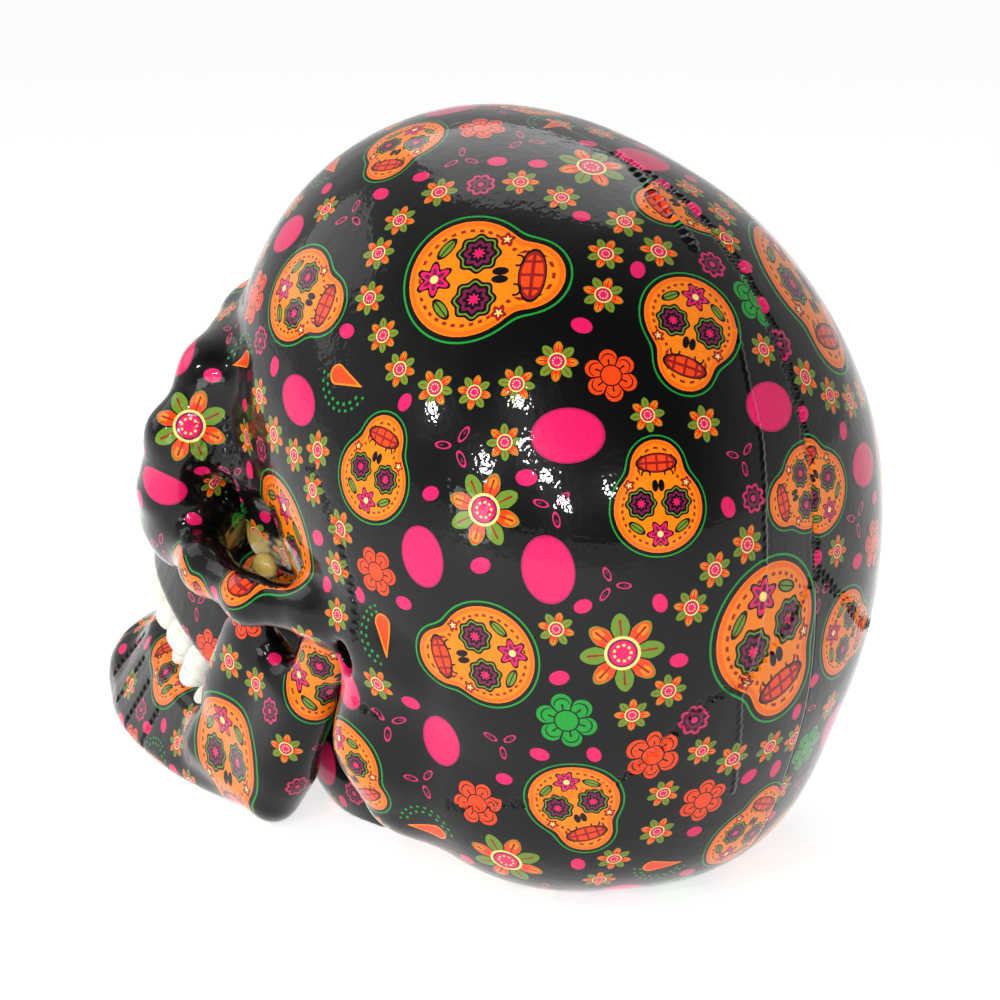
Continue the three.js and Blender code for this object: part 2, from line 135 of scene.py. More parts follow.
faceShape = {
    "maxilla": ((0, -66, -14), (33, 27, 26)), "noseCore": ((0, -74, 14), (13, 18, 20)),
    "noseSide": ([(9, -92, 24), (15, -91, -14)], (6, 7)), "noseBridge": ([(0, -91, 32), (0, -101, 12)], (7, 5)),
    "eyeFloor": ([(18, -88, -4), (42, -73, -4)], (7, 7)), "cheek": ((42, -67, -4), (12.5, 13, 16)),
    "cheekRise": ([(46, -70, 34), (53.5, -69, 20), (50, -69, 4)], (7, 8, 9)),
    "brow": ([(0, -86, 34), (24, -83, 38), (47, -72, 36)], (8, 7.5, 7)),
    "orbitWall": ([(48, -66, 22), (39, -46, 20), (37, -44, 4)], (6, 9, 8)),
    "eyeSocket": ([(33, -92, 17), (18, -50, 20)], (18.5, 6)),
    "noseHole": ([(0, 0, 8), (3.5, 0, -14)], (4, 9)), "noseReach": (-120, -74),
    "gumPlan": [(-4, -95), (9, -94), (20, -86), (28, -70), (32, -54), (33, -44)],
    "gum": (-45, -22, 5.5, 4),
}
jawShape = {
    "plan": [(-6, -90.5), (10, -90), (20, -81), (30, -62), (38.5, -38), (45.5, -14)],
    "lows": (-97, -97, -94, -86, -75, -60), "highs": (-63, -63, -62, -59, -52, -38),
    "halfWidths": (7, 7, 7, 7, 6.5, 5), "edge": 5, "lean": 0.1, "set": 0.2, "foot": -86,
    "chin": ((0, -93, -86), (17, 9, 12)),
    "ramusPlan": [(40, -40), (46.5, -13)],
    "coronoid": ([(44, -34, -36), (48.5, -37, 3)], (8, 3.6), 1.6),
    "condyleNeck": ([(46, -15, -40), (46.5, -13, -4), (47, -12, 5)], (8, 5.5, 5), 1.3, 6),
    "condyle": ([(41, -12, 6), (52, -12, 6)], (5, 5)),
    "opening": 14, "gap": 1.6,
}


def ramusField(p):
    s = jawShape
    d = band(p, s["ramusPlan"], (-64, -56), (-18, -18), (5, 5), 4)
    d = joinSmooth(d, rod(p, *s["coronoid"]), 8)
    d = joinSmooth(d, rod(p, *s["condyleNeck"]), 8)
    return joinSmooth(d, rod(p, *s["condyle"]), 4)


def swingField(p):
    d = None
    hy, hz = lying["hinge"]
    for share in (0, 0.33, 0.67, 1):
        turn = math.radians(jawShape["opening"] * share)
        y, z = p[1] - hy, p[2] - hz
        back = (p[0], y * math.cos(turn) + z * math.sin(turn) + hy, z * math.cos(turn) - y * math.sin(turn) + hz)
        one = ramusField(back)
        d = one if d is None else np.minimum(d, one)
    return d - jawShape["gap"]


def faceField(p):
    s = faceShape
    low, high, half, edge = s["gum"]
    flat = lambda v: [v] * len(s["gumPlan"])
    d = joinSmooth(egg(p, *s["maxilla"]), band(p, s["gumPlan"], flat(low), flat(high), flat(half), edge), 6)
    d = joinSmooth(d, egg(p, *s["noseCore"]), 6)
    d = joinSmooth(d, rod(p, *s["noseSide"]), 6)
    d = joinSmooth(d, rod(p, *s["eyeFloor"]), 7)
    d = joinSmooth(d, egg(p, *s["cheek"]), 8)
    d = joinSmooth(d, rod(p, *s["cheekRise"]), 6)
    d = joinSmooth(d, rod(p, *s["orbitWall"]), 6)
    d = joinSmooth(d, rod(p, *s["brow"]), 8)
    return joinSmooth(d, rod(p, *s["noseBridge"]), 6)


def tableField(p):
    return p[1] * tiltSin - p[2] * tiltCos - lying["height"]


def skullField(p):
    s = headShape
    p = (np.abs(p[0]), p[1], p[2])
    d = joinSmooth(egg(p, *s["vault"]), egg(p, *s["forehead"]), 18)
    d = joinSmooth(d, egg((np.hypot(p[0], 9), p[1], p[2]), *s["parietal"]), 18)
    d = joinSmooth(d, egg(p, *s["occiput"]), 20)
    d = joinSmooth(d, egg(p, *s["nape"]), 16)
    d = joinSmooth(d, egg(p, *s["base"]), 14)
    d = joinSmooth(d, egg(p, *s["napeSide"]), 14)
    d = joinSmooth(d, egg(p, *s["neckPad"]), 10)
    d = joinSmooth(d, rod(p, *s["mastoid"], 1, 6), 10)
    d = joinSmooth(d, rod(p, *s["earCrest"]), 8)
    d = joinSmooth(d, faceField(p), 9)
    d = cutSmooth(d, rod(p, *s["temple"]), 5)
    d = joinSmooth(d, rod(p, *s["arch"]), 5)
    d = cutSmooth(d, rod(p, *faceShape["eyeSocket"]), 4)
    front, back = faceShape["noseReach"]
    d = cutSmooth(d, rod((p[0], p[1] - np.clip(p[1], front, back), p[2]), *faceShape["noseHole"]), 3)
    d = cutSmooth(d, rod(p, *s["earHole"]), 2.5)
    nx, ny, radius, top = s["neck"]
    d = cutSmooth(d, np.maximum(np.hypot(p[0] - nx, p[1] - ny) - radius, p[2] - top), 3)
    d = cutSmooth(d, swingField(p), 2)
    return np.maximum(d, tableField(p))


def jawField(p):
    s = jawShape
    p = (np.abs(p[0]), p[1], p[2])
    rise = np.maximum(p[2] - s["foot"], 0)
    front = np.clip((-40 - p[1]) / 40, 0, 1)
    leaning = (p[0] + s["lean"] * rise, p[1] - s["set"] * rise * front, p[2])
    d = band(leaning, s["plan"], s["lows"], s["highs"], s["halfWidths"], s["edge"])
    d = joinSmooth(d, egg(p, *s["chin"]), 8)
    d = joinSmooth(d, ramusField(p), 8)
    return np.maximum(d, tableField(p))


# points set back exactly on a field, with its slope there
def settle(field, points, rounds):
    for _ in range(rounds):
        here = field(points.T)
        slope = np.stack([(field((points + np.eye(3)[i] * 0.25).T) - here) / 0.25 for i in range(3)], 1)
        steep = np.maximum((slope ** 2).sum(1), 0.3)
        points = points - np.clip(here / steep, -0.6, 0.6)[:, None] * slope
    return points, slope


# surface of a field on an even grid
def fieldMesh(field, low, high, step):
    x = np.arange(0, high[0] + step, step, dtype=np.float32)[:, None, None]
    y = np.arange(low[1], high[1] + step, step, dtype=np.float32)[None, :, None]
    z = np.arange(low[2], high[2] + step, step, dtype=np.float32)[None, None, :]
    half = field((x, y, z)).astype(np.float32)
    full = np.ascontiguousarray(np.concatenate([half[:0:-1], half]))
    grid = openvdb.FloatGrid(1e3)
    grid.copyFromArray(full)
    points, tris, quads = grid.convertToPolygons(0.0, 0.0)
    points = points * step + np.array([-x.max(), low[1], low[2]])
    points = settle(field, points, 2)[0]
    faces = [tuple(f) for f in tris.tolist()] + [tuple(f) for f in quads.tolist()]
    return points, faces


def newMesh(name, points, faces):
    mesh = bpy.data.meshes.new(name)
    mesh.from_pydata(toPart(points).tolist(), [], faces)
    mesh.update()
    return mesh


def addObject(name, mesh, body, nodes):
    piece = bpy.data.objects.new(name, mesh)
    bpy.context.scene.collection.objects.link(piece)
    for poly in mesh.polygons:
        poly.use_smooth = True
    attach(piece, body)
    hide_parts(*nodes)
    return piece


# pieces of the printed skull
shellMake = {"step": 1.0, "low": (0, -112, -62), "high": (74, 92, 130), "seam": 0.02}
jawMake = {"step": 0.9, "low": (0, -110, -106), "high": (62, 6, 18)}


def halfOf(mesh, side, name):
    half = mesh.copy()
    half.name = name
    bm = bmesh.new()
    bm.from_mesh(half)
    edge = side * shellMake["seam"] / 1000
    geom = bm.verts[:] + bm.edges[:] + bm.faces[:]
    bmesh.ops.bisect_plane(bm, geom=geom, dist=1e-6, plane_co=(edge, 0, 0), plane_no=(side, 0, 0), clear_inner=True)
    rim = [e for e in bm.edges if e.is_boundary]
    cap = bmesh.ops.triangle_fill(bm, edges=rim, use_beauty=False, normal=(-side, 0, 0))
    for face in cap["geom"]:
        if isinstance(face, bmesh.types.BMFace):
            face.smooth = False
    bmesh.ops.recalc_face_normals(bm, faces=bm.faces[:])
    bm.to_mesh(half)
    bm.free()
    return half


# moulded marks, cut into the skin or raised on it: radius and depth in millimetres
markMake = {
    "seed": 5, "cuts": 3, "suture": (0.75, -0.6), "wander": 1.7,
    "sutures": [
        [(66, -23, 49), (67, -17, 47), (69, -6, 41), (68, 0, 33), (68, 6, 22)],
        [(0, -22, 122), (0, 10, 121), (0, 38, 108), (0, 50, 98), (0, 63, 79), (0, 69, 67)],
        [(2, 69, 67), (23, 74, 50), (34, 72, 45), (45, 67, 21), (54, 55, 10), (58, 39, -4)],
    ],
    "lap": (0.9, 0.3, [(11, 30, 110), (14, 40, 103), (15, 49, 95), (18, 59, 82), (19, 68, 66), (24, 75, 46), (18, 82, 21)]),
    "wrinkle": (1.4, 0.9, [(2, -14, 121), (5, -6, 121), (7, 1, 121), (9, 12, 119)]),
    "pits": (1.7, -1.0, [(65, 11, 7), (66, 14, 7), (65, 17, 8)]),
    "bubbles": (1.3, 0.6, [(54, -60, 25), (51, -55, 19), (47, -56, 12), (42, -57, 6)], 90, 3.6),
    "grooves": (1.3, -0.5, [(12, -97), (20, -90), (26, -81), (30, -72), (34, -62)], (-70, -86)),
    "bare": ([(38, -55, -4), (41, -50, -2), (43, -45, 1), (49, -36, 6)], 6.0),
}


def drawLine(field, path, wander, rng):
    path = np.array(path, float)
    far = np.concatenate([[0], np.cumsum(np.linalg.norm(np.diff(path, axis=0), axis=1))])
    run = np.arange(0, far[-1], 0.2)
    line, slope = settle(field, np.stack([np.interp(run, far, path[:, i]) for i in range(3)], 1), 12)
    across = np.cross(slope, np.gradient(line, axis=0))
    across /= np.linalg.norm(across, axis=1)[:, None] + 1e-9
    knots = np.arange(0, far[-1] + 2, 1.1)
    swing = wander * rng.uniform(0.3, 1, len(knots)) * np.where(np.arange(len(knots)) % 2, 1, -1)
    return settle(field, line + across * np.interp(run, knots, swing)[:, None], 3)[0]


def carve(mesh, marks):
    spots = np.concatenate([toPart(m[0]) for m in marks])
    kinds = np.repeat(np.arange(len(marks)), [len(m[0]) for m in marks])
    tree = kdtree.KDTree(len(spots))
    for i, spot in enumerate(spots):
        tree.insert(spot, i)
    tree.balance()
    bm = bmesh.new()
    bm.from_mesh(mesh)
    edges = set()
    for face in bm.faces:
        found = tree.find(face.calc_center_median())
        if found[2] * 1000 < marks[kinds[found[1]]][1] + 0.9:
            edges.update(face.edges)
    bmesh.ops.subdivide_edges(bm, edges=list(edges), cuts=markMake["cuts"], use_grid_fill=True)
    bm.normal_update()
    for vert in bm.verts:
        found = tree.find(vert.co)
        radius, depth = marks[kinds[found[1]]][1:]
        share = max(1 - found[2] * 1000 / radius, 0)
        vert.co += vert.normal * (depth / 1000 * share * share * (3 - 2 * share))
    bm.to_mesh(mesh)
    bm.free()
    mesh.update()


def headMarks():
    rng = np.random.default_rng(markMake["seed"])
    mirror = np.array([-1, 1, 1])
    marks = []
    for path in markMake["sutures"]:
        line = drawLine(skullField, path, markMake["wander"], rng)
        marks += [(line, *markMake["suture"]), (line * mirror, *markMake["suture"])]
    for name, wander in (("lap", 0.3), ("wrinkle", 0.8)):
        radius, depth, path = markMake[name]
        marks.append((drawLine(skullField, path, wander, rng), radius, depth))
    radius, depth, spots = markMake["pits"]
    spots = settle(skullField, np.array(spots, float), 12)[0]
    marks += [(spots, radius, depth), (spots * mirror, radius, depth)]
    radius, depth, spots, count, spread = markMake["bubbles"]
    picked = np.array(spots, float)[rng.integers(0, len(spots), count)] + rng.normal(0, spread, (count, 3))
    for spot in settle(skullField, picked, 16)[0]:
        marks.append((spot[None], radius * rng.uniform(0.6, 1.1), depth * rng.uniform(0.5, 1)))
    return marks


def jawMarks():
    rng = np.random.default_rng(markMake["seed"] + 1)
    radius, depth, spots, (high, low) = markMake["grooves"]
    marks = []
    for side in (1, -1):
        for x, y in spots:
            line = drawLine(jawField, [(side * x, y, high), (side * x, y, low)], 0.4, rng)
            marks.append((line, radius, depth))
    return marks


# where the film is worn through to the ivory stuff beneath
def wearOn(mesh):
    patch, reach = markMake["bare"]
    spots = toSkull(np.array([v.co[:] for v in mesh.vertices]))
    away = np.min([np.linalg.norm(spots - np.array(p), axis=1) for p in patch], axis=0)
    ragged = np.sin(spots[:, 1] * 1.9) + np.sin(spots[:, 2] * 2.6 + spots[:, 0])
    layer = mesh.attributes.new("bare", "FLOAT", "POINT")
    layer.data.foreach_set("value", np.clip((reach - away + ragged) / 1.5, 0, 1).astype(np.float32))


headMesh = newMesh("head", *fieldMesh(skullField, shellMake["low"], shellMake["high"], shellMake["step"]))
carve(headMesh, headMarks())
leftMesh = halfOf(headMesh, 1, "skullShellLeft")
rightMesh = halfOf(headMesh, -1, "skullShellRight")
jawMesh = newMesh("jawBone", *fieldMesh(jawField, jawMake["low"], jawMake["high"], jawMake["step"]))
bpy.data.meshes.remove(headMesh)
carve(jawMesh, jawMarks())
wearOn(leftMesh)
wearOn(jawMesh)
skullLeft = addObject("skullShellLeft", leftMesh, "skull", ["skull_shell_left"])
skullRight = addObject("skullShellRight", rightMesh, "skull", ["skull_shell_right"])
jawBone = addObject("jawBone", jawMesh, "jaw", ["jaw"])
print("skin made:", len(leftMesh.polygons), len(rightMesh.polygons), len(jawMesh.polygons), "faces")

# teeth: rounded pegs on the places of the plain ones
toothMake = {
    "upper": (8.4, 6.8, 7.6, 7, 6.8, 10, 9.4), "lower": (5.4, 6, 7, 7.2, 7.4, 10.6, 10),
    "depth": (7.4, 9.6), "upperGum": -45.0, "lowerGum": -62.5, "bite": -53.6, "biteGap": 0.6, "root": 7.0, "sides": 28,
}


def toothPlaces(row, side):
    places = []
    for i in range(1, 8):
        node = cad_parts[f"{row}_tooth_{side}_{i}"]
        spots = toSkull(np.array([v.co[:] for v in node.data.vertices]))
        places.append((spots[:, :2].min(0) + spots[:, :2].max(0)) / 2)
    return places


def toothMesh(name, row, number, at, turn):
    width = toothMake[row][number]
    depth = toothMake["depth"][0 if number < 4 else 1]
    gum = toothMake[row + "Gum"]
    up = 1 if row == "lower" else -1
    crown = abs(toothMake["bite"] - gum) - toothMake["biteGap"] / 2
    molar = number >= 4
    sides = toothMake["sides"]
    # share of height, width share, depth share
    rings = [(-1, 0.3, 0.34), (-0.5, 0.46, 0.52), (-0.16, 0.6, 0.66), (0.02, 0.8, 0.82), (0.2, 0.92, 0.94),
             (0.45, 0.99, 1.0), (0.68, 1.0, 0.97 if molar else 0.86), (0.84, 0.96, 0.9 if molar else 0.68),
             (0.94, 0.86, 0.78 if molar else 0.5), (0.985, 0.66, 0.6 if molar else 0.32), (1.0, 0.3, 0.3 if molar else 0.14)]
    points, faces = [], []
    for height, wide, deep in rings:
        z = height * (crown if height > 0 else toothMake["root"])
        for k in range(sides):
            a = 2 * math.pi * k / sides
            c, s = math.cos(a), math.sin(a)
            square = (abs(c) ** 2.6 + abs(s) ** 2.6) ** (-1 / 2.6)
            x, y = c * square * width * 0.47 * wide, s * square * depth / 2 * deep
            cusp = 0.45 * math.cos(2 * a) * max(height - 0.7, 0) / 0.3 if molar else 0
            points.append((x, y, z + cusp))
    for r in range(len(rings) - 1):
        for k in range(sides):
            n = (k + 1) % sides
            faces.append((r * sides + k, r * sides + n, (r + 1) * sides + n, (r + 1) * sides + k))
    faces.append(tuple(range(sides))[::-1])
    top = (len(rings) - 1) * sides
    points.append((0, 0, crown - (0.7 if molar else 0)))
    faces += [(top + k, top + (k + 1) % sides, len(points) - 1) for k in range(sides)]
    spots = np.array(points)
    if up < 0:
        spots[:, 1:] *= -1
    c, s = math.cos(turn), math.sin(turn)
    x = spots[:, 0] * c - spots[:, 1] * s + at[0]
    y = spots[:, 0] * s + spots[:, 1] * c + at[1]
    return newMesh(name, np.stack([x, y, spots[:, 2] + gum], 1), faces)


teeth = []
for row in ("upper", "lower"):
    for side in ("left", "right"):
        places = toothPlaces(row, side)
        for number, at in enumerate(places):
            before, after = places[max(number - 1, 0)], places[min(number + 1, 6)]
            if number == 0:
                before = np.array([-at[0], at[1]])
            turn = math.atan2(after[1] - before[1], after[0] - before[0])
            name = f"{row}Tooth{side.capitalize()}{number + 1}"
            mesh = toothMesh(name, row, number, at, turn)
            body = "skull" if row == "upper" else "jaw"
            teeth.append(addObject(name, mesh, body, [f"{row}_tooth_{side}_{number + 1}"]))
print("teeth made:", len(teeth))


# print: where each motif sits on the skin. radius, count, room to its own kind, in millimetres
printMake = {
    "seed": 11, "gap": 0.9,
    "bigSkull": (19.5, 10, 80), "midSkull": (13.5, 18, 36), "bigMarigold": (8.4, 10, 36), "blossom": (6.4, 26, 21),
    "oval": (7.4, 26, 27), "drop": (7.4, 26, 22), "petals": (4.8, 34, 15), "marigold": (4.2, 190, 8.8),
    "lace": (3.4, 60, 17), "dot": (2.3, 240, 8.5),
    "ring": (17, 27.5, 4.2),
}
motifKinds = ["plain", "skull", "oval", "marigold", "blossom", "drop", "lace", "petals"]
motifDrawn = {  # in the order they find their places
    "bigSkull": "skull", "midSkull": "skull", "bigMarigold": "marigold", "blossom": "blossom", "oval": "oval",
    "drop": "drop", "petals": "petals", "marigold": "marigold", "lace": "lace", "dot": "oval",
}


def layPrint(mesh, seed, share):
    rng = np.random.default_rng(seed)
    count = len(mesh.vertices)
    spots, normals = np.empty(count * 3), np.empty(count * 3)
    mesh.vertices.foreach_get("co", spots)
    mesh.vertices.foreach_get("normal", normals)
    spots, normals = spots.reshape(-1, 3) * 1000, normals.reshape(-1, 3)
    areas, corners = np.empty(len(mesh.polygons)), np.empty(len(mesh.polygons), int)
    mesh.polygons.foreach_get("area", areas)
    mesh.polygons.foreach_get("loop_start", corners)
    loopVerts = np.empty(len(mesh.loops), int)
    mesh.loops.foreach_get("vertex_index", loopVerts)
    areas[np.abs(spots[loopVerts[corners], 0]) < 0.3] = 0  # not on the joint faces
    places, sizes, kinds = [], [], []

    def tryPlace(vertex, kind, radius, apart):
        at = spots[vertex]
        if places:
            away = np.linalg.norm(np.array(places) - at, axis=1)
            need = np.array(sizes) + radius + printMake["gap"]
            same = np.array([k == kind for k in kinds])
            if (away < np.where(same, np.maximum(need, apart), need)).any():
                return False
        places.append(at)
        sizes.append(radius)
        kinds.append(kind)
        return True

    for kind in motifDrawn:
        radius, most, apart = printMake[kind]
        wanted = max(1, round(most * share))
        placed = 0
        picks = rng.choice(len(areas), 60 * wanted + 400, p=areas / areas.sum())
        for vertex in loopVerts[corners[picks]]:
            size = radius * rng.uniform(0.88, 1.1)
            if tryPlace(vertex, kind, size, apart):
                placed += 1
                if kind == "bigSkull":
                    ringOf(vertex, spots, normals, rng, tryPlace)
            if placed >= wanted:
                break
    return np.array(places), np.array(sizes), kinds, spots, normals, rng


def ringOf(vertex, spots, normals, rng, tryPlace):
    number, far, size = printMake["ring"]
    right, up = tangents(normals[vertex][None])
    for k in range(number):
        turn = 2 * math.pi * (k + 0.12 * rng.uniform()) / number
        target = spots[vertex] + far * (math.cos(turn) * right[0] + math.sin(turn) * up[0])
        near = int(np.argmin(((spots - target) ** 2).sum(1)))
        if rng.uniform() < 0.85:
            tryPlace(near, "marigold", size * rng.uniform(0.9, 1.1), printMake["marigold"][2])


def tangents(normals):
    right = np.cross(np.array([0.0, 0.0, 1.0]), normals)
    flat = np.linalg.norm(right, axis=1) < 1e-3
    right[flat] = (1, 0, 0)
    right /= np.linalg.norm(right, axis=1)[:, None]
    return right, np.cross(normals, right)


def printOn(piece, seed, share):
    mesh = piece.data
    places, sizes, kinds, spots, normals, rng = layPrint(mesh, seed, share)
    nearest = [int(np.argmin(((spots - p) ** 2).sum(1))) for p in places]
    facing = normals[nearest]
    right, up = tangents(facing)
    turns = rng.choice([0, 0, 0.5, 1, 1, 1.5], len(places)) * math.pi + rng.uniform(-0.5, 0.5, len(places))
    c, s = np.cos(turns)[:, None], np.sin(turns)[:, None]
    right, up = right * c + up * s, up * c - right * s
    faceCount, loopCount = len(mesh.polygons), len(mesh.loops)
    middles, faceNormals = np.empty(faceCount * 3), np.empty(faceCount * 3)
    mesh.polygons.foreach_get("center", middles)
    mesh.polygons.foreach_get("normal", faceNormals)
    middles, faceNormals = middles.reshape(-1, 3) * 1000, faceNormals.reshape(-1, 3)
    owner, nearestGap = np.full(faceCount, -1), np.full(faceCount, 2.6)
    for m in range(len(places)):
        gap = np.linalg.norm(middles - places[m], axis=1) - sizes[m] * 1.12
        take = (gap < nearestGap) & (faceNormals @ facing[m] > 0.2)
        owner[take], nearestGap[take] = m, gap[take]
    loopVerts, loopTotals = np.empty(loopCount, int), np.empty(faceCount, int)
    mesh.loops.foreach_get("vertex_index", loopVerts)
    mesh.polygons.foreach_get("loop_total", loopTotals)
    loopOwner = np.repeat(owner, loopTotals)
    offset = spots[loopVerts] - places[loopOwner]
    flat = np.stack([(offset * right[loopOwner]).sum(1), (offset * up[loopOwner]).sum(1)], 1)
    stretch = np.linalg.norm(offset, axis=1) / np.maximum(np.linalg.norm(flat, axis=1), 1e-6)
    flat *= np.clip(stretch, 1, 1.5)[:, None] / sizes[loopOwner][:, None]
    flat[loopOwner < 0] = 6.0
    info = np.stack([rng.uniform(0, 1, len(places))[loopOwner], sizes[loopOwner] / 20], 1)
    for name, data in (("motif", flat), ("motifInfo", info)):
        layer = mesh.uv_layers.new(name=name)
        layer.data.foreach_set("uv", data.astype(np.float32).ravel())
    index = np.array([motifKinds.index(motifDrawn[k]) for k in kinds] + [0])
    mesh.polygons.foreach_set("material_index", index[owner].astype(np.int32))
    for kind in motifKinds:
        mesh.materials.append(filmOf[kind])
    mesh.update()
    tally = ", ".join(f"{kind} {kinds.count(kind)}" for kind in motifDrawn)
    print("print laid on", piece.name, "-", tally)


# print inks, as seen under the gloss
def ink(r, g, b):
    line = [v / 255 for v in (r, g, b)]
    return tuple(v / 12.92 if v <= 0.04045 else ((v + 0.055) / 1.055) ** 2.4 for v in line) + (1.0,)


inks = {
    "black": ink(11, 10, 11), "magenta": ink(214, 26, 92), "orange": ink(238, 124, 16), "redOrange": ink(230, 66, 20),
    "green": ink(24, 142, 50), "olive": ink(100, 132, 38), "plum": ink(112, 22, 66), "pink": ink(196, 36, 92),
    "darkRed": ink(140, 28, 28), "cream": ink(236, 208, 120), "ivory": ink(186, 160, 84),
}


class Num:
    def __init__(self, tree, out):
        self.tree, self.out = tree, out

    def op(self, kind, *others):
        node = self.tree.nodes.new("ShaderNodeMath")
        node.operation = kind
        for socket, value in zip(node.inputs, (self, *others)):
            if isinstance(value, Num):
                self.tree.links.new(value.out, socket)
            else:
                socket.default_value = value
        return Num(self.tree, node.outputs[0])

    def __add__(self, other): return self.op("ADD", other)
    def __sub__(self, other): return self.op("SUBTRACT", other)
    def __mul__(self, other): return self.op("MULTIPLY", other)
    def __lt__(self, other): return self.op("LESS_THAN", other)
    def __gt__(self, other): return self.op("GREATER_THAN", other)
    def __abs__(self): return self.op("ABSOLUTE")
    def root(self): return self.op("SQRT")
    def cos(self): return self.op("COSINE")


class Film:
    def __init__(self, name):
        self.material = bpy.data.materials.new(name)
        self.material.use_nodes = True
        self.tree = self.material.node_tree
        self.tree.nodes.clear()
        self.colour = inks["black"]
        self.u, self.v = self.layer("motif")
        self.seed = self.layer("motifInfo")[0]

    def layer(self, name):
        uv = self.tree.nodes.new("ShaderNodeUVMap")
        uv.uv_map = name
        split = self.tree.nodes.new("ShaderNodeSeparateXYZ")
        self.tree.links.new(uv.outputs[0], split.inputs[0])
        return Num(self.tree, split.outputs[0]), Num(self.tree, split.outputs[1])

    def oval(self, u, v, cx, cy, rx, ry):
        a, b = (u - cx) * (1 / rx), (v - cy) * (1 / ry)
        return (a * a + b * b).root()

    def angle(self, cx=0.0, cy=0.0, u=None):
        return (self.v - cy).op("ARCTAN2", (u or self.u) - cx)

    def paint(self, mask, name):
        mix = self.tree.nodes.new("ShaderNodeMix")
        mix.data_type = "RGBA"
        self.tree.links.new(mask.out, mix.inputs[0])
        for socket, value in ((mix.inputs[6], self.colour), (mix.inputs[7], inks.get(name, name))):
            if isinstance(value, tuple):
                socket.default_value = value
            else:
                self.tree.links.new(value, socket)
        self.colour = mix.outputs[2]


def drawSkull(f):
    u, v, side = f.u, f.v, abs(f.u)
    head = (f.oval(u, v, 0, 0.2, 0.74, 0.7) - 1) * 0.72
    chin = (f.oval(u, v, 0, -0.5, 0.42, 0.42) - 1) * 0.42
    d = head.op("SMOOTH_MIN", chin, 0.24)
    for edge, name in ((0.12, "green"), (0.095, "black"), (0.035, "orange")):
        f.paint(d < edge, name)
    f.paint((d > -0.035) * (d < 0.02) * 0.5, "redOrange")
    beads = (abs(d + 0.1) < 0.02) * ((f.angle(0, 0.1) * 36).cos() > 0)
    f.paint(beads, "darkRed")
    eye = f.oval(side, v, 0.31, 0.1, 0.235, 0.235) - (f.angle(0.31, 0.1, side) * 8).cos() * 0.08
    f.paint(eye < 1.12, "black")
    f.paint(abs(eye - 0.93) < 0.05, "olive")
    f.paint(abs(eye - 0.6) < 0.1, "plum")
    f.paint(eye < 0.26, "magenta")
    f.paint(f.oval(side, v, 0.055, -0.19, 0.055, 0.1) < 1, "black")
    mouth = f.oval(u, v, 0, -0.57, 0.33, 0.15)
    f.paint(mouth < 1.12, "black")
    f.paint(mouth < 1, "darkRed")
    gaps = abs((u * 17).op("SINE")) > 0.34
    f.paint((mouth < 0.86) * gaps * (abs(v + 0.57) > 0.022), "redOrange")
    far = f.oval(u, v, 0, 0.62, 0.2, 0.2)
    petal = far - (f.angle(0, 0.62) * 6).cos() * 0.24
    f.paint(petal < 0.98, "black")
    f.paint(petal < 0.8, "magenta")
    f.paint((petal < 0.5) * (far > 0.3), "plum")
    f.paint(far < 0.26, "cream")
    leafU, leafV = (side - 0.4) * 0.8 - (v - 0.5) * 0.6, (v - 0.5) * 0.8 + (side - 0.4) * 0.6
    leaf = f.oval(leafU, leafV, 0, 0, 0.17, 0.075)
    f.paint(leaf < 1, "black")
    f.paint((leaf < 0.74) * (abs(leafV) > 0.008), "olive")
    blush = f.oval(side, v, 0.5, -0.22, 0.085, 0.085) - (f.angle(0.5, -0.22, side) * 5).cos() * 0.2
    f.paint(blush < 1, "darkRed")
    f.paint(blush < 0.4, "cream")
    f.paint((abs(f.oval(side, v, 0.2, -0.38, 0.09, 0.09) - 0.8) < 0.16) * (v < -0.36), "black")


def drawOval(f):
    q = f.oval(f.u, f.v, 0, 0, 0.98, 0.74)
    f.paint(q < 1, "magenta")
    f.paint((q > 0.93) * (q < 1) * 0.5, "plum")


def drawMarigold(f):
    r, a = f.oval(f.u, f.v, 0, 0, 1, 1), f.angle()
    steps = a * (8 / (2 * math.pi))
    tri = abs(steps.op("FRACT") - 0.5) * 2
    edge = tri.op("POWER", 1.7) * -0.42 + 1.0
    f.paint(r < edge, "olive")
    odd = steps.op("FLOOR").op("FLOORED_MODULO", 2) > 0.5
    f.paint((r < edge - 0.04) * odd, "redOrange")
    f.paint((r < edge - 0.1) * odd * (tri < 0.4) * (r > 0.62), "orange")
    f.paint((r < edge) * (tri > 0.9), "black")
    f.paint((r < edge - 0.16) * (tri < 0.1) * (r > 0.4), "darkRed")
    f.paint(r < 0.43, "cream")
    f.paint(r < 0.36, "plum")
    f.paint(r < 0.31, "magenta")
    f.paint((abs(r - 0.2) < 0.03) * ((a * 9).cos() > 0), "cream")


def drawBlossom(f):
    r, a = f.oval(f.u, f.v, 0, 0, 1, 1), f.angle()
    lobe = abs((a * 3).cos())
    edge = lobe.op("POWER", 0.55) * 0.4 + 0.56
    warm = f.seed > 0.62
    f.paint(r < edge, "green")
    f.paint((r < edge) * warm, "redOrange")
    f.paint((r < edge) * (lobe < 0.16) * (r > 0.25), "black")
    f.paint((abs(edge - 0.16 - r) < 0.025) * (lobe > 0.3), "black")
    f.paint((r < 0.6) * (lobe > 0.985), "black")
    f.paint(r < 0.4, "black")
    f.paint(r < 0.35, "green")
    f.paint((r < 0.35) * warm, "redOrange")


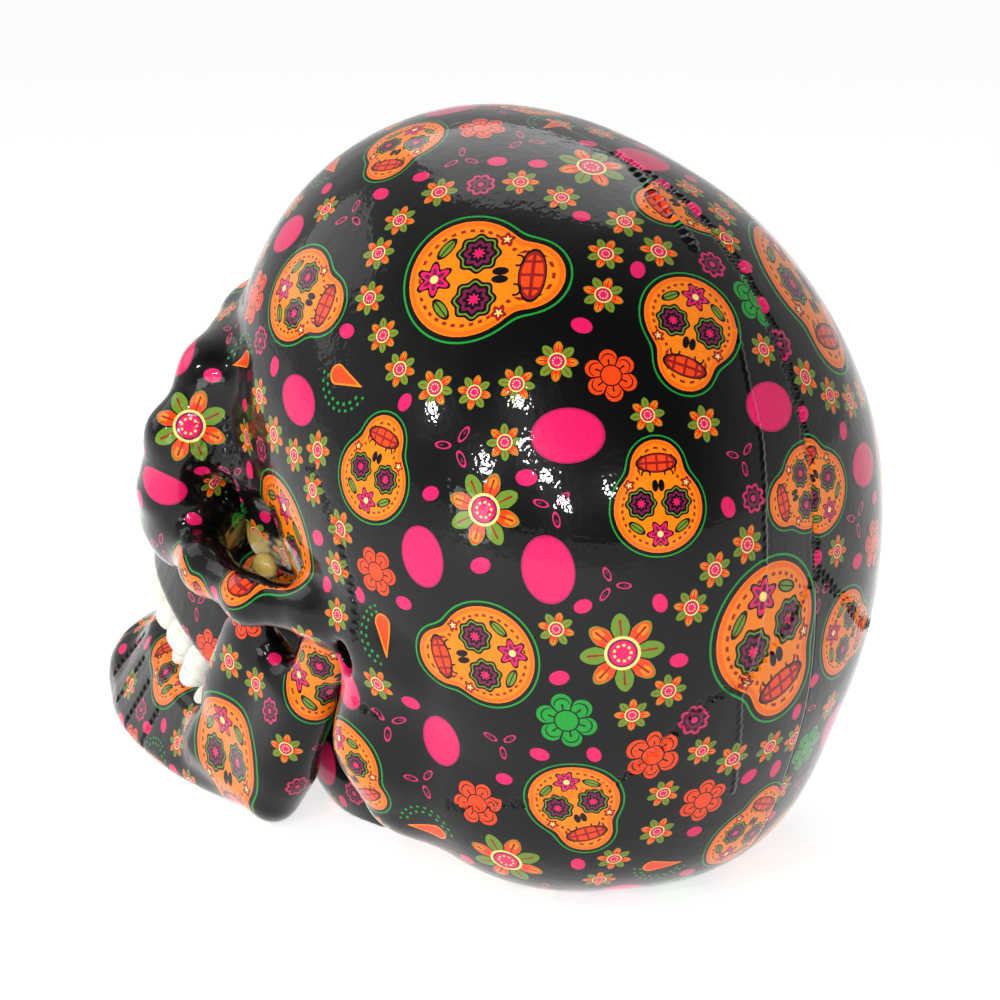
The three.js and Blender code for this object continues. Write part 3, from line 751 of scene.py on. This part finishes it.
def drawDrop(f):
    u, v = f.u, f.v
    tipU, tipV = -1.05, -0.16
    along = ((u - 0.36) * tipU + (v - 0.05) * tipV) * (1 / (tipU ** 2 + tipV ** 2))
    h = along.op("MAXIMUM", 0.0).op("MINIMUM", 1.0)
    away = f.oval(u - h * tipU, v - h * tipV, 0.36, 0.05, 1, 1)
    d = away - (h * -0.29 + 0.31)
    f.paint(d < 0, "orange")
    f.paint(d < -0.06, "redOrange")
    r, a = f.oval(u, v, 0, 0, 1, 1), f.angle()
    for far, wide in ((0.74, 0.045), (0.94, 0.04)):
        f.paint((abs(r - far) < wide) * ((a * round(24 * far)).cos() > 0.35) * (v > 0.1), "green")


def drawLace(f):
    r, a = f.oval(f.u, f.v, 0, 0, 1, 1), f.angle()
    rim = abs((a * 4).cos()) * 0.22 + 0.7
    f.paint(abs(r - rim) < 0.1, "pink")
    f.paint(abs(r - 0.46) < 0.09, "plum")
    f.paint((r < rim - 0.1) * (r > 0.5) * (abs((a * 8).cos()) < 0.3), "plum")
    f.paint(r < 0.22, "pink")


def drawPetals(f):
    r, a = f.oval(f.u, f.v, 0, 0, 1, 1), f.angle()
    fold = ((a * (3 / (2 * math.pi))).op("FRACT") - 0.5) * (2 * math.pi / 3)
    x, y = r * fold.cos(), r * fold.op("SINE")
    q = f.oval(x, y, 0.58, 0, 0.38, 0.17)
    f.paint(q < 1, "pink")
    f.paint(q < 0.7, "black")
    f.paint(f.oval(x, y, 0.66, 0, 0.1, 0.04) < 1, "plum")


glossMake = {
    "roughness": 0.3, "coatRoughness": 0.03, "coatIor": 1.31, "specular": 0.06,
    "waves": [(38, 0.4, 0.0016), (170, 0.3, 0.0004), (700, 0.35, 0.00016)],  # scale, strength, height in metres
}


def coat(f):
    tree = f.tree
    links = tree.links.new
    place = tree.nodes.new("ShaderNodeNewGeometry")
    wear = tree.nodes.new("ShaderNodeAttribute")
    wear.attribute_name = "bare"
    f.paint(Num(tree, wear.outputs["Fac"]), "ivory")
    grain = tree.nodes.new("ShaderNodeTexNoise")
    grain.inputs["Scale"].default_value = 1400
    links(place.outputs["Position"], grain.inputs["Vector"])
    tone = tree.nodes.new("ShaderNodeMapRange")
    tone.inputs["To Min"].default_value, tone.inputs["To Max"].default_value = 0.82, 1.12
    links(grain.outputs["Fac"], tone.inputs["Value"])
    shade = tree.nodes.new("ShaderNodeVectorMath")
    shade.operation = "MULTIPLY"
    if isinstance(f.colour, tuple):
        shade.inputs[0].default_value = f.colour[:3]
    else:
        links(f.colour, shade.inputs[0])
    links(tone.outputs[0], shade.inputs[1])
    height = None
    for scale, strength, tall in glossMake["waves"]:
        wave = tree.nodes.new("ShaderNodeTexNoise")
        wave.inputs["Scale"].default_value = scale
        wave.inputs["Detail"].default_value = 1.5
        links(place.outputs["Position"], wave.inputs["Vector"])
        bump = tree.nodes.new("ShaderNodeBump")
        bump.inputs["Strength"].default_value = strength
        bump.inputs["Distance"].default_value = tall
        links(wave.outputs["Fac"], bump.inputs["Height"])
        if height:
            links(height.outputs[0], bump.inputs["Normal"])
        height = bump
    shader = tree.nodes.new("ShaderNodeBsdfPrincipled")
    links(shade.outputs[0], shader.inputs["Base Color"])
    links(height.outputs[0], shader.inputs["Normal"])
    links(height.outputs[0], shader.inputs["Coat Normal"])
    shader.inputs["Roughness"].default_value = glossMake["roughness"]
    shader.inputs["Specular IOR Level"].default_value = glossMake["specular"]
    shader.inputs["Coat Weight"].default_value = 1.0
    shader.inputs["Coat Roughness"].default_value = glossMake["coatRoughness"]
    shader.inputs["Coat IOR"].default_value = glossMake["coatIor"]
    out = tree.nodes.new("ShaderNodeOutputMaterial")
    links(shader.outputs[0], out.inputs[0])
    return f.material


drawers = {"plain": lambda f: None, "skull": drawSkull, "oval": drawOval, "marigold": drawMarigold, "blossom": drawBlossom,
           "drop": drawDrop, "lace": drawLace, "petals": drawPetals}
filmOf = {}
for kind in motifKinds:
    sheet = Film("film" + kind.capitalize())
    drawers[kind](sheet)
    filmOf[kind] = coat(sheet)
print("films mixed:", len(filmOf))

printOn(skullLeft, printMake["seed"], 1.0)
printOn(skullRight, printMake["seed"] + 1, 1.0)
printOn(jawBone, printMake["seed"] + 2, 0.45)


# teeth, pins and dowels
def plainMaterial(name, base, spots, roughness, metal, scale, dent):
    material = bpy.data.materials.new(name)
    material.use_nodes = True
    tree = material.node_tree
    shader = tree.nodes["Principled BSDF"]
    place = tree.nodes.new("ShaderNodeNewGeometry")
    noise = tree.nodes.new("ShaderNodeTexNoise")
    noise.inputs["Scale"].default_value = scale
    noise.inputs["Detail"].default_value = 4
    tree.links.new(place.outputs["Position"], noise.inputs["Vector"])
    ramp = tree.nodes.new("ShaderNodeValToRGB")
    ramp.color_ramp.elements[0].position, ramp.color_ramp.elements[1].position = 0.3, 0.62
    ramp.color_ramp.elements[0].color, ramp.color_ramp.elements[1].color = spots, base
    tree.links.new(noise.outputs["Fac"], ramp.inputs["Fac"])
    tree.links.new(ramp.outputs["Color"], shader.inputs["Base Color"])
    bump = tree.nodes.new("ShaderNodeBump")
    bump.inputs["Strength"].default_value = dent
    bump.inputs["Distance"].default_value = 0.0003
    tree.links.new(noise.outputs["Fac"], bump.inputs["Height"])
    tree.links.new(bump.outputs[0], shader.inputs["Normal"])
    shader.inputs["Roughness"].default_value = roughness
    shader.inputs["Metallic"].default_value = metal
    return material


toothWhite = plainMaterial("toothWhite", ink(232, 234, 226), ink(214, 213, 198), 0.18, 0.0, 260, 0.25)
pinSteel = plainMaterial("pinSteel", ink(196, 198, 200), ink(150, 152, 156), 0.32, 1.0, 900, 0.2)
dowelIvory = plainMaterial("dowelIvory", ink(212, 194, 142), ink(190, 168, 112), 0.5, 0.0, 500, 0.3)
for tooth in teeth:
    tooth.data.materials.append(toothWhite)
for name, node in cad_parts.items():
    if name.startswith(("jaw_pin", "seam_dowel")):
        node.material_slots[0].material = pinSteel if name.startswith("jaw_pin") else dowelIvory
print("teeth, pins and dowels finished")

# stage: pale floor, soft light, camera
stageMake = {
    "aim": (0, lying["shift"] / 1000, 0.0793), "azimuth": 130, "elevation": 17, "distance": 0.62, "view": 22,
    "room": (0.03, 0.6), "floor": 0.5, "floorGlow": 0.75, "dimSide": (132, 28),
    "lamps": [  # azimuth, elevation, distance, size, watts
        ("overhead", 310, 62, 0.8, 0.6, 2.2), ("side", 25, 30, 0.7, 0.4, 0.7),
        ("spotFar", 73, 26, 0.62, 0.03, 0.5), ("spotHigh", 109, 37, 0.64, 0.04, 0.6), ("spotMid", 113, 25, 0.64, 0.03, 0.5),
        ("spotLeft", 96, 17, 0.63, 0.04, 0.6), ("spotNear", 120, 19, 0.64, 0.035, 0.5), ("spotLow", 125, 11, 0.64, 0.03, 0.4),
        ("spotRight", 142, 17, 0.65, 0.03, 0.5), ("softBox", 91, 2, 0.62, 0.14, 0.35),
    ],
}


def around(azimuth, elevation, distance):
    a, e = math.radians(azimuth), math.radians(elevation)
    x, y, z = stageMake["aim"]
    flat = distance * math.cos(e)
    return (x + flat * math.sin(a), y - flat * math.cos(a), z + distance * math.sin(e))


def lookAt(thing):
    direction = Vector(stageMake["aim"]) - thing.location
    thing.rotation_euler = direction.to_track_quat("-Z", "Y").to_euler()


scene = bpy.context.scene
camera = bpy.data.objects.new("camera", bpy.data.cameras.new("camera"))
camera.data.sensor_fit = "HORIZONTAL"
camera.data.angle = math.radians(stageMake["view"])
camera.location = around(stageMake["azimuth"], stageMake["elevation"], stageMake["distance"])
lookAt(camera)
scene.collection.objects.link(camera)
scene.camera = camera
for name, azimuth, elevation, distance, size, watts in stageMake["lamps"]:
    lamp = bpy.data.objects.new(name, bpy.data.lights.new(name, "AREA"))
    lamp.data.size = size
    lamp.data.energy = watts
    lamp.location = around(azimuth, elevation, distance)
    lookAt(lamp)
    scene.collection.objects.link(lamp)
world = bpy.data.worlds.new("paleRoom")
world.use_nodes = True
# the room is dim on the side the skull's left rear looks at, and bright behind
sky = world.node_tree
sky.nodes["Background"].inputs["Color"].default_value = (1, 1, 1, 1)
way = sky.nodes.new("ShaderNodeTexCoord")
facing = sky.nodes.new("ShaderNodeVectorMath")
facing.operation = "DOT_PRODUCT"
turn, rise = [math.radians(v) for v in stageMake["dimSide"]]
facing.inputs[1].default_value = (math.sin(turn) * math.cos(rise), -math.cos(turn) * math.cos(rise), math.sin(rise))
sky.links.new(way.outputs["Generated"], facing.inputs[0])
dim = sky.nodes.new("ShaderNodeMapRange")
dim.interpolation_type = "SMOOTHSTEP"
dim.inputs["From Min"].default_value, dim.inputs["From Max"].default_value = 0.1, 0.85
dim.inputs["To Max"].default_value, dim.inputs["To Min"].default_value = stageMake["room"]
sky.links.new(facing.outputs["Value"], dim.inputs["Value"])
sky.links.new(dim.outputs[0], sky.nodes["Background"].inputs["Strength"])
scene.world = world
scene.view_settings.view_transform = "Standard"
floorMesh = bpy.data.meshes.new("floor")
floorMesh.from_pydata([(-40, -40, 0), (40, -40, 0), (40, 40, 0), (-40, 40, 0)], [], [(0, 1, 2, 3)])
floor = bpy.data.objects.new("floor", floorMesh)
floorTone = [(stageMake["floor"] * share,) * 3 + (1,) for share in (1, 0.98)]
floorPaint = plainMaterial("floorPaint", *floorTone, 0.7, 0, 3, 0.0)
floorShader = floorPaint.node_tree.nodes["Principled BSDF"]
floorShader.inputs["Emission Color"].default_value = (1, 1, 1, 1)
floorShader.inputs["Emission Strength"].default_value = stageMake["floorGlow"]
floorMesh.materials.append(floorPaint)
scene.collection.objects.link(floor)
print("stage set")
